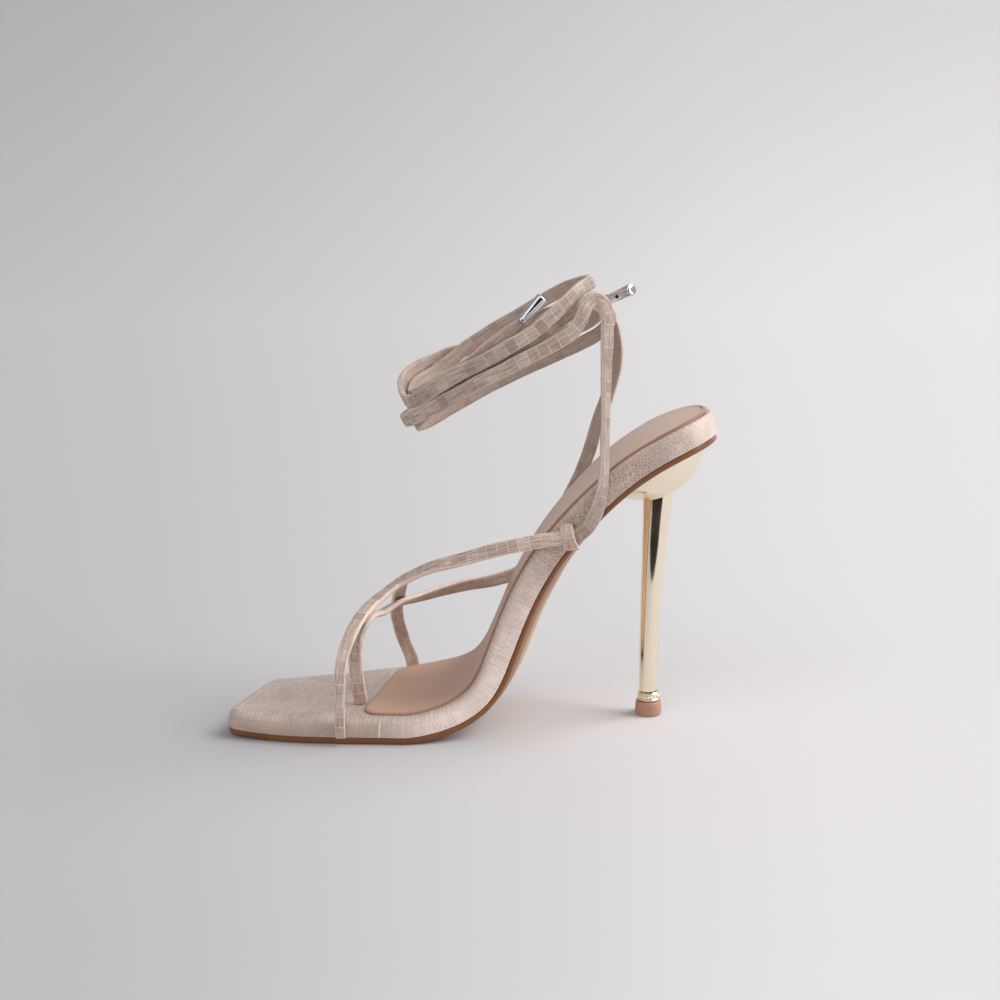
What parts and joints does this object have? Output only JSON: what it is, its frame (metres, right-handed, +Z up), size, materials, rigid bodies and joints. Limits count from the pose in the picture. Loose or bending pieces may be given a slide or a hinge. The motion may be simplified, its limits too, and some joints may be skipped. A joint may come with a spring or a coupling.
{
  "type": "tie-up sandal",
  "caption": "Right-foot stiletto sandal with a square open toe, crossed slim vamp straps with a toe post, and long ankle ties wound into a loop.",
  "frame": {"origin": "middle of the flat forefoot tread, on the floor", "axes": "+X towards the heel along the shoe, +Y to the lateral (outer) side, +Z up"},
  "size_m": [0.1953, 0.0779, 0.1811],
  "materials": {
    "footbed_cover": "nude embossed leather with a soft sheen",
    "sock_leather": "smooth tan lining leather",
    "outsole_rubber": "brown sole, satin edge",
    "strap_leather": "nude embossed leather, rolled edges",
    "gold_plate": "polished pale gold plating",
    "top_piece_rubber": "matt brown",
    "chrome": "polished"
  },
  "bodies": {
    "root": {"outsole": "outsole_rubber", "footbed": "footbed_cover", "sock": "sock_leather", "heel": "gold_plate", "heel_ring": "gold_plate", "heel_top_piece": "top_piece_rubber", "vamp_straps": "strap_leather", "keeper_medial": "strap_leather", "keeper_lateral": "strap_leather", "tie_medial": "strap_leather", "tie_lateral": "strap_leather", "aglet_medial": "chrome", "aglet_lateral": "chrome"}
  },
  "joints": []
}
